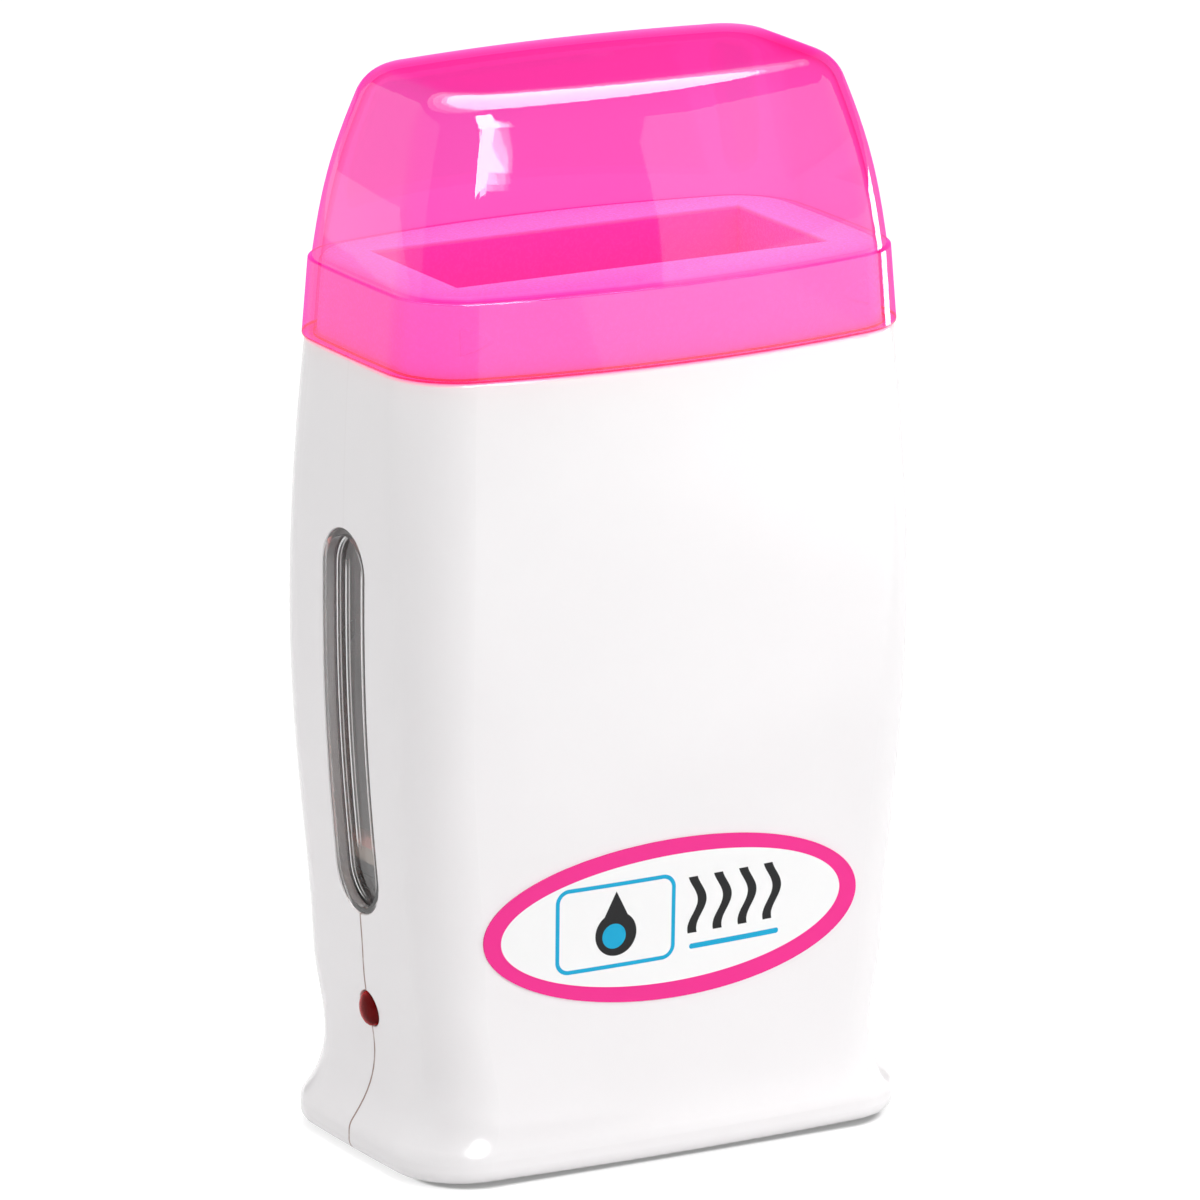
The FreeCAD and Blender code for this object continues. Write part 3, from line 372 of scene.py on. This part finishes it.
# %% Softboxes
def softbox(name, centre, facing, width, height, bright, lights="all", shape="RECTANGLE"):
    """A panel at centre that faces along facing, in metres. lights is all, spread for a lamp that only
    lights surfaces, or shine for one that only shows in gloss."""
    data = bpy.data.lights.new(name, "AREA")
    data.shape, data.size, data.size_y = shape, width, height
    area = width * height * (math.pi / 4 if shape == "ELLIPSE" else 1)
    data.energy = bright * math.pi * area
    made = bpy.data.objects.new(name, data)
    made.location = centre
    made.rotation_mode = "QUATERNION"
    made.rotation_quaternion = Vector(facing).to_track_quat("-Z", "Y")
    made.visible_camera = made.visible_transmission = False
    made.visible_diffuse, made.visible_glossy = lights != "shine", lights != "spread"
    scene.collection.objects.link(made)
    print(name, "of", round(data.energy, 1), "W")
    return made


def graded_strip(name, foot, lean, rows, edge):
    """A strip lamp that stands on its foot and leans back, made of rows that are each as wide and as bright
    as they are told: (height, left, right, bright). A dimmer edge and fringe border each row on its right."""
    up = Vector((0, math.sin(lean), math.cos(lean)))
    facing, low = up.cross((1, 0, 0)), 0.0
    for row, (height, left, right, bright) in enumerate(rows):
        for part, near, far, share in (("main", left, right, 1.0), ("edge", right, right + edge, 0.55),
                                       ("fringe", right + edge, right + edge * 2, 0.2)):
            centre = Vector(foot) + up * (low + height / 2) + Vector(((near + far) / 2, 0, 0))
            softbox(f"{name}_{part}_{row}", centre, facing, far - near, height, bright * share, "shine")
        low += height


softbox("panel_right", (0.93, -1.06, 0.42), (-1, 0, 0), 1.75, 0.84, 1.55)
softbox("panel_left", (-1.26, 0.98, 0.62), (1.26, -0.98, 0), 2.70, 1.24, 0.7)
softbox("front_light", (-0.09, -1.06, 1.17), (0.09, 1.06, -1.06), 1.20, 0.80, 2.64, "spread")
softbox("near_overhead", (0, -0.03, 0.60), (0, 0, -1), 0.35, 0.07, 17.0, "spread")
STRIP_FOOT, STRIP_LEAN, STRIP_EDGE = (0, -1.667, 0.605), math.radians(34), 0.022
STRIP_ROWS = ((0.03, 0.10, 0.185, 7.0), (0.05, -0.15, 0.195, 12.0), (0.29, -0.36, 0.215, 18.0),
              (0.96, -0.45, 0.245, 21.0))
graded_strip("front_strip", STRIP_FOOT, STRIP_LEAN, STRIP_ROWS, STRIP_EDGE)
softbox("edge_card", (0.80, 0.06, 0.085), (-1, 0, 0), 0.21, 0.17, 12.0, "shine")
softbox("lit_table_near", (0.20, -1.06, 0.004), (0, 0, 1), 0.36, 1.75, 0.9, "shine")
softbox("lit_table_far", (0.645, -1.06, 0.004), (0, 0, 1), 0.53, 1.75, 1.6, "shine")
OVERHEAD_Z = 1.70
OVERHEAD_DISCS = ((0.28, 0.28, 1.58, 12.0), (0.22, 0.35, 1.75, 5.5), (0.10, 0.52, 2.15, 2.6),
                  (0.0, 0.72, 2.55, 1.2))
for disc, (centre_x, centre_y, across, bright) in enumerate(OVERHEAD_DISCS):
    softbox(f"overhead_{disc}", (centre_x, centre_y, OVERHEAD_Z), (0, 0, -1), across, across, bright,
            "shine", "ELLIPSE")

# %% [markdown]
# ## White moulded plastic
#
# The case is glossy white ABS. Real moulded plastic isn't one flat white: it has a faint cloudiness, its
# gloss varies a little, and its skin is very slightly wavy. The two shells meet along the middle of each
# side, and the joint shows as a thin warm grey hairline, so the colour darkens within about a quarter of a
# millimetre of the plane y = 0. It is almost left out above the foot of the window. A hairline in the
# colour is chosen over a cut groove, since it is thinner than any edge of the mesh.

# %% White plastic
CASE_WHITE, CASE_SHADE, SEAM_TONE = (0.905, 0.884, 0.894), (0.87, 0.850, 0.860), (0.30, 0.19, 0.16)
SEAM_EDGE, SEAM_WANDER = (0.32, 0.18), 0.16
SIDE_WALL_X, WINDOW_FOOT_Z = (44, 46), (52, 47)


def case_finish():
    made = Finish("glossy_white_case")
    where, x, y, z = made.place()
    cloud = made.noise(where, 0.035, 3)
    seam = abs(y + (made.noise(where, 0.11) - 0.5) * SEAM_WANDER).step(*SEAM_EDGE)
    outside = abs(x).step(*SIDE_WALL_X)
    below_window = z.step(*WINDOW_FOOT_Z) * 0.95 + 0.03
    broken = made.noise(where, 0.4).step(0.25, 0.55) * 0.35 + 0.65
    seam = seam * outside * below_window * broken
    paint = made.blend(seam, made.blend(cloud, CASE_SHADE, CASE_WHITE), SEAM_TONE)
    gloss = 0.13 + made.noise(where, 0.3, 4) * 0.06 + seam * 0.4
    skin = made.noise(where, 0.12, 2) * 0.7 + made.noise(where, 2.5, 2) * 0.02
    return made.show(made.surface(Base_Color=paint, Roughness=gloss, IOR=1.5,
                                  Normal=made.relief(skin - seam * 2, 0.03, 0.6)))


def wear(names, finish):
    """Gives CAD nodes a finish."""
    for name in names.split():
        data = frame["nodes"][name].data
        data.materials.clear()
        data.materials.append(finish)


wear("front_shell rear_shell", case_finish())

# %% [markdown]
# ## White collar
#
# The collar is the same white plastic with less shine, and it carries the mouth. The inside of the mouth
# is painted pink: painted shade and painted pink light, since light reaches down there through the lid's
# walls, so that through the lid the mouth looks deeper than the deck round it. A mask of three
# distances in the colour does that, which leaves the collar one piece.

# %% Collar and the painted shade in its mouth
COLLAR_WHITE, COLLAR_SHADE, MOUTH_PAINTED_SHADE = (0.9, 0.9, 0.91), (0.86, 0.86, 0.87), (0.95, 0.22, 0.78)
MOUTH_SHADE_X, MOUTH_SHADE_Y, MOUTH_SHADE_Z = (40.9, 40.7), (18.0, 17.8), (173.4, 172.6)


def collar_finish():
    made = Finish("satin_white_collar")
    where, x, y, z = made.place()
    cloud = made.noise(where, 0.05, 3)
    grain = made.noise(where, 1.6, 3)
    # Painted shade and pink light inside the mouth.
    painted_mouth_shade = abs(x).step(*MOUTH_SHADE_X) * abs(y).step(*MOUTH_SHADE_Y) * z.step(*MOUTH_SHADE_Z)
    paint = made.blend(cloud, COLLAR_SHADE, COLLAR_WHITE)
    return made.show(made.surface(Base_Color=made.blend(painted_mouth_shade, paint, MOUTH_PAINTED_SHADE),
                                  Roughness=0.22 + grain * 0.1, IOR=1.5, Normal=made.relief(grain, 0.01)))


wear("top_collar", collar_finish())

# %% [markdown]
# ## Clear pink lid
#
# The lid is a clear cap tinted right through. Light loses its green and some of its blue on the way
# through the wall, so the rims and the corners, where it runs further inside the plastic, are deeper pink.
# Colouring the inside of the plastic gives that by itself, which a tint on the surface doesn't. Light from
# the lamps passes without being bent, so that what stands under the lid is lit evenly.
#
# The ledge is deeper still, since light runs along the wall there. The lip at the foot gathers so much that
# it's nearly solid, and its magenta and red are painted light. Its lowest face shares a plane with the
# shoulder of the case, which would turn it brown, so it is opaque there and glows a little: a painted glow.

# %% Pink plastic
LID_SKIN, LID_RIM, LID_LAMPS = (1.0, 0.386, 0.768), (1.0, 0.08, 0.62), (1.0, 0.75, 0.53)
LID_MOUTH_Z, LID_LEDGE_Z = 158.0, 173.1
LIP_RED, LIP_MAGENTA, PAINTED_GLOW = (1.0, 0.0, 0.08), (1.0, 0.03, 0.34), 0.85
LID_BODY, LID_DEPTH = (1.0, 0.0, 0.72), 155.0


def clear_plastic(name, skin, rim, lamps, body, depth, bend=1.001, shine=1.0, rims=None, solid=None):
    """Clear coloured plastic. skin tints each face, rim where it is seen edge on, and lamps the light that
    falls through. body and depth tint the way between the faces. rims(z) marks where an edge gathers
    the colour, and solid(made, y, z) gives where it isn't clear, the colour there and what glows."""
    made = Finish(name)
    where, _, y, z = made.place()
    swirl = made.noise(where, 0.06, 2)
    facing = made.node("ShaderNodeLayerWeight", {}, {"Blend": 0.5}, out="Facing")
    normal = made.node("ShaderNodeTexCoord", out="Normal")
    level = abs(made.node("ShaderNodeSeparateXYZ", {}, {0: normal}, out=2))
    edge_on = facing.step(0.52, 0.86) * level.step(0.93, 0.75)
    if rims:
        edge_on = edge_on.most(rims(z))
    steep = 1 - facing.step(0.52, 0.8) * 0.7 - facing.step(0.82, 0.96) * 0.3
    coat = steep * (1 - level.step(0.9, 0.97) * 0.45) * shine
    clear = made.surface(Base_Color=made.blend(edge_on, skin, rim), Transmission_Weight=1.0, IOR=bend,
                         Roughness=swirl * 0.004, Coat_Weight=coat, Coat_IOR=1.5, Coat_Roughness=0.03)
    lamps = made.node("ShaderNodeBsdfTransparent", {}, {"Color": colour(lamps)})
    shadow = made.node("ShaderNodeLightPath", out="Is Shadow Ray")
    inside = made.node("ShaderNodeVolumeAbsorption", {}, {"Color": colour(body), "Density": depth})
    if solid:
        share, paint, glow = solid(made, y, z)
        # The glow is painted light, on the lid's lip and on the windows' painted highlights.
        matt = made.surface(Base_Color=paint, Roughness=0.3, Emission_Color=glow,
                            Emission_Strength=PAINTED_GLOW)
        clear = made.node("ShaderNodeMixShader", {}, {0: share, 1: clear, 2: matt})
    return made.show(made.node("ShaderNodeMixShader", {}, {0: shadow, 1: clear, 2: lamps}), inside)


def lid_rims(z):
    """The ledge of the lid, where the light runs along the wall."""
    return abs(z - LID_LEDGE_Z).step(0.4, 0.2) * 0.8


def lid_lip(made, y, z):
    """The lip gathers so much light that it's nearly solid. Its colour is painted light: a magenta foot that
    glows a little, and red round its outer edge.
    """
    rise = z - LID_MOUTH_Z
    foot = rise.step(0.06, 0.03)
    glow = made.blend(foot, (0.0, 0.0, 0.0), LIP_MAGENTA)
    return foot.most(rise.step(0.6, 0.4) * 0.8), made.blend(foot, LIP_RED, LIP_MAGENTA), glow


wear("lid", clear_plastic("clear_pink_lid", LID_SKIN, LID_RIM, LID_LAMPS, LID_BODY, LID_DEPTH, rims=lid_rims,
                          solid=lid_lip))

# %% [markdown]
# ## Smoky windows
#
# Each window is a long dish of clear grey plastic that shows the level of the wax. It is the lid's clear
# plastic again, without the coat and with light bent much as real plastic bends it. The corner round the
# dish and two lines down its middle are painted highlights that glow a little, and the rear wall of the dish
# is a little whiter. They are drawn in the finish with distances, as edges this fine would take more faces
# than the rest of the case.

# %% Grey plastic
HIGHLIGHT_WHITE, HIGHLIGHT_GLOW = (0.95, 0.95, 0.95), (0.28, 0.28, 0.28)
WINDOW_Z, DISH_HALF_W, DISH_HALF_L = 86.5, 7.2, 36.95
HIGHLIGHT_LINE_Y, HIGHLIGHT_LINE_Z = 3.1, 89


def window_highlights(made, y, z):
    """Painted highlights round the corner of the dish and along two lines down its middle; the rear wall whiter."""
    # Painted highlight round the corner of the dish.
    corner = abs(box_distance(y, z - WINDOW_Z, DISH_HALF_W, DISH_HALF_L, DISH_HALF_W) + 0.45)
    corner = corner.step(0.32, 0.16) * abs(y).step(1.0, 5.0)
    # Painted highlights along two lines down the middle of the dish.
    level = abs(abs(y) - HIGHLIGHT_LINE_Y).step(0.36, 0.2) * abs(z - HIGHLIGHT_LINE_Z).step(30, 26) * 0.8
    rear_white = y.step(4.6, 5.4) * abs(z - WINDOW_Z).step(36, 30) * 0.12
    lines = corner.most(level)
    return lines.most(rear_white), HIGHLIGHT_WHITE, made.blend(lines, (0.0, 0.0, 0.0), HIGHLIGHT_GLOW)


SMOKE_SKIN, SMOKE_RIM, SMOKE_LAMPS = (0.62, 0.63, 0.63), (0.4, 0.4, 0.4), (0.8, 0.8, 0.8)
SMOKE_BODY, SMOKE_DEPTH, SMOKE_BEND = (0.3, 0.3, 0.3), 60.0, 1.45
wear("left_window right_window",
     clear_plastic("smoky_window", SMOKE_SKIN, SMOKE_RIM, SMOKE_LAMPS, SMOKE_BODY, SMOKE_DEPTH, SMOKE_BEND,
                   shine=0.0, solid=window_highlights))

# %% [markdown]
# ## Red pilot lens
#
# The lens is a small dome of deep red plastic over the pilot lamp. Clear red plastic could be used, but the
# lamp would show through it. An opaque red with a faint coat is chosen, darker in the middle than at the
# rim, as thick red plastic looks while the lamp is off. The brighter red where it is seen edge on, and in a
# crescent on its rear half, is painted light.

# %% Red plastic
LENS_Z = 29.0
RUBY_DARK, RUBY_PAINTED_LIGHT = (0.11, 0.0015, 0.002), (0.55, 0.003, 0.004)


def ruby_finish():
    """Opaque deep red plastic, dark in the middle, with painted light that makes it brighter at the rim."""
    made = Finish("ruby_lens")
    where, _, y, z = made.place()
    facing = made.node("ShaderNodeLayerWeight", {}, {"Blend": 0.5}, out="Facing")
    # Painted light: brighter red where the lens is seen edge on and in a crescent on its rear half.
    rim = length(y, z - LENS_Z).step(2.2, 3.3) * y.step(-1.5, 1.5)
    depth = facing.step(0.45, 0.9).most(rim) + made.noise(where, 0.5, 2) * 0.1
    gloss = 0.04 + made.noise(where, 1.2, 2) * 0.04
    return made.show(made.surface(Base_Color=made.blend(depth, RUBY_DARK, RUBY_PAINTED_LIGHT), Roughness=gloss,
                                  Specular_IOR_Level=0.03, Coat_Weight=0.08, Coat_Roughness=0.02))


wear("indicator_lens", ruby_finish())

# %% [markdown]
# ## The oval badge
#
# A thin vinyl label on the lower front, with a pink border round a white field. Its print is a plain
# pictogram of a wax drop and rising warmth. It is drawn in the finish with distances, as a printer would
# lay ink on the label: a shape is where a distance is below its half width.

# %% Badge print
BADGE_X, BADGE_Z, BADGE_TILT = -1.15, 48.7, 0.016
FIELD_HALF_W, FIELD_HALF_H = 37.1, 12.85
INK_EDGE = 0.05
BADGE_WHITE, INK_BLACK = (0.93, 0.93, 0.93), (0.006, 0.006, 0.007)
INK_CYAN, INK_PINK = (0.0, 0.39, 0.66), (0.89, 0.022, 0.28)
DROP_LEFT, DROP_BELOW, DROP_RADIUS, DROP_HEIGHT, SHINE_RADIUS = 13.0, 1.3, 4.4, 8.6, 2.5
TRAY_HALF_W, TRAY_HALF_H, TRAY_CORNER, TRAY_LINE = 12.4, 8.2, 2.4, 0.42
WAVE_MIDDLES, WAVE_ABOVE, WAVE_HALF_W, WAVE_HALF_H = (4.6, 10.2, 15.8, 21.4), 2.0, 1.0, 5.7
RULE_RIGHT, RULE_BELOW, RULE_HALF_W, RULE_HALF_H, RULE_CORNER = 13.0, 6.4, 10.0, 0.55, 0.5


def stroke(distance, half):
    """1 where the distance is under a half width, with an edge as soft as printed ink."""
    return distance.step(half + INK_EDGE, half - INK_EDGE)


def badge_finish():
    made = Finish("printed_badge")
    where, x, _, z = made.place()
    u, v = x - BADGE_X, z - BADGE_Z
    across, up = u + v * BADGE_TILT, v - u * BADGE_TILT
    border = length(across / FIELD_HALF_W, up / FIELD_HALF_H).step(0.998, 1.002)

    drop_x, drop_z = across + DROP_LEFT, up + DROP_BELOW
    bulb = stroke(length(drop_x, drop_z), DROP_RADIUS)
    tip = stroke(abs(drop_x) - (DROP_HEIGHT - drop_z) * 0.5, 0.0) * drop_z.step(2.1, 2.2)
    shine = stroke(length(drop_x + 0.4, drop_z + 0.4), SHINE_RADIUS)
    tray = box_distance(across + DROP_LEFT, up - 0.5, TRAY_HALF_W, TRAY_HALF_H, TRAY_CORNER)
    tray = stroke(abs(tray), TRAY_LINE)
    wave = (up * 0.55).sine() * 1.1
    waves = [stroke(abs(across - middle - wave), WAVE_HALF_W) for middle in WAVE_MIDDLES]
    warmth = waves[0].most(waves[1]).most(waves[2]).most(waves[3]) * stroke(abs(up - WAVE_ABOVE), WAVE_HALF_H)
    rule = box_distance(across - RULE_RIGHT, up + RULE_BELOW, RULE_HALF_W, RULE_HALF_H, RULE_CORNER)
    rule = stroke(rule, 0.0)

    field = 1 - border
    paint = made.blend((bulb.most(tip) + warmth) * field, BADGE_WHITE, INK_BLACK)
    paint = made.blend((tray + rule + shine) * field, paint, INK_CYAN)
    paint = made.blend(border, paint, INK_PINK)
    grain = made.noise(where, 0.5, 3)
    return made.show(made.surface(Base_Color=paint, Roughness=0.2 + grain * 0.08, Specular_IOR_Level=0.25,
                                  Normal=made.relief(grain, 0.004, 0.3)))


wear("front_badge", badge_finish())

# %% [markdown]
# ## Inside parts and fittings
#
# What shows through the windows and the mouth is metal, moulded plastic and wire. One recipe each for
# rolled aluminium, plated steel, moulded plastic, rubber and wire sleeve covers them, with its own colours.


# %% Metals
def metal_finish(name, light, dark, grain_way, roughness=0.28):
    """grain_way has small numbers along the direction the rolling marks run."""
    made = Finish(name)
    where = made.place()[0]
    marks = made.noise(made.stretched(where, grain_way), 1.0, 4)
    stains = made.noise(where, 0.06, 3)
    return made.show(made.surface(Base_Color=made.blend(stains, dark, light), Metallic=1.0,
                                  Roughness=roughness + marks * 0.2, Normal=made.relief(marks, 0.01)))


ALUMINIUM, ALUMINIUM_DULL = (0.80, 0.80, 0.81), (0.66, 0.66, 0.68)
STEEL, STEEL_DULL = (0.62, 0.61, 0.60), (0.48, 0.47, 0.46)
wear("front_heating_plate rear_heating_plate",
     metal_finish("rolled_aluminium", ALUMINIUM, ALUMINIUM_DULL, (2.2, 2.2, 0.03)))
wear("front_ptc_clamp rear_ptc_clamp", metal_finish("spring_steel", STEEL, STEEL_DULL, (0.03, 2.0, 2.0)))
wear("well_screws housing_screws", metal_finish("zinc_plate", STEEL, STEEL_DULL, (1.5, 1.5, 1.5), 0.3))


# %% Plastics, rubber and wire
def moulded_finish(name, light, dark, gloss, grain=1.5, depth=0.02):
    """Moulded plastic or rubber: a cloudy colour and a fine grain."""
    made = Finish(name)
    where = made.place()[0]
    cloud = made.noise(where, 0.12, 3)
    texture = made.noise(where, grain, 3)
    return made.show(made.surface(Base_Color=made.blend(cloud, dark, light), Roughness=gloss + texture * 0.12,
                                  Normal=made.relief(texture, depth)))


wear("well_floor", moulded_finish("beige_floor", (0.90, 0.80, 0.70), (0.80, 0.70, 0.60), 0.4))
wear("base_plate", moulded_finish("satin_base", (0.80, 0.80, 0.81), (0.74, 0.74, 0.75), 0.4))
wear("cord_gland", moulded_finish("white_bush", (0.72, 0.72, 0.73), (0.66, 0.66, 0.67), 0.45))
wear("foot_front_left foot_front_right foot_rear_left foot_rear_right",
     moulded_finish("grey_rubber", (0.16, 0.16, 0.165), (0.11, 0.11, 0.115), 0.7, 3.0, 0.03))
wear("terminal_block", moulded_finish("milky_block", (0.78, 0.78, 0.76), (0.70, 0.70, 0.68), 0.3))
wear("front_ptc_heater rear_ptc_heater",
     moulded_finish("amber_film", (0.42, 0.2, 0.05), (0.3, 0.13, 0.03), 0.18))
wear("thermostat", moulded_finish("black_case", (0.035, 0.035, 0.038), (0.02, 0.02, 0.022), 0.35))
wear("lamp_board", moulded_finish("green_board", (0.03, 0.2, 0.07), (0.02, 0.15, 0.05), 0.3))
wear("lamp_resistor", moulded_finish("tan_resistor", (0.6, 0.45, 0.28), (0.5, 0.36, 0.22), 0.3))
wear("indicator_lamp",
     clear_plastic("lamp_glass", (0.97, 0.95, 0.93), (0.8, 0.7, 0.6), (0.97, 0.95, 0.93), (0.9, 0.6, 0.4),
                   30.0, 1.45))
wear("live_lead thermostat_lead",
     moulded_finish("brown_sleeve", (0.17, 0.07, 0.035), (0.12, 0.05, 0.025), 0.35))
wear("neutral_lead", moulded_finish("blue_sleeve", (0.03, 0.12, 0.42), (0.02, 0.09, 0.32), 0.35))
wear("front_heater_leads lamp_leads",
     moulded_finish("white_sleeve", (0.8, 0.8, 0.78), (0.7, 0.7, 0.68), 0.35))

# %% [markdown]
# ## Finish
#
# The last cell writes the outer corners of the engineering solids and of what is shown to extents.json,
# then prints them.

# %% Sizes and hand-over
with open("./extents.json", "w") as sizes:
    json.dump({"solids": [list(corner) for corner in solid_box],
               "shown": [list(corner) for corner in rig.bounds()]}, sizes)
print("size of the solids and of what is shown:", open("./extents.json").read())
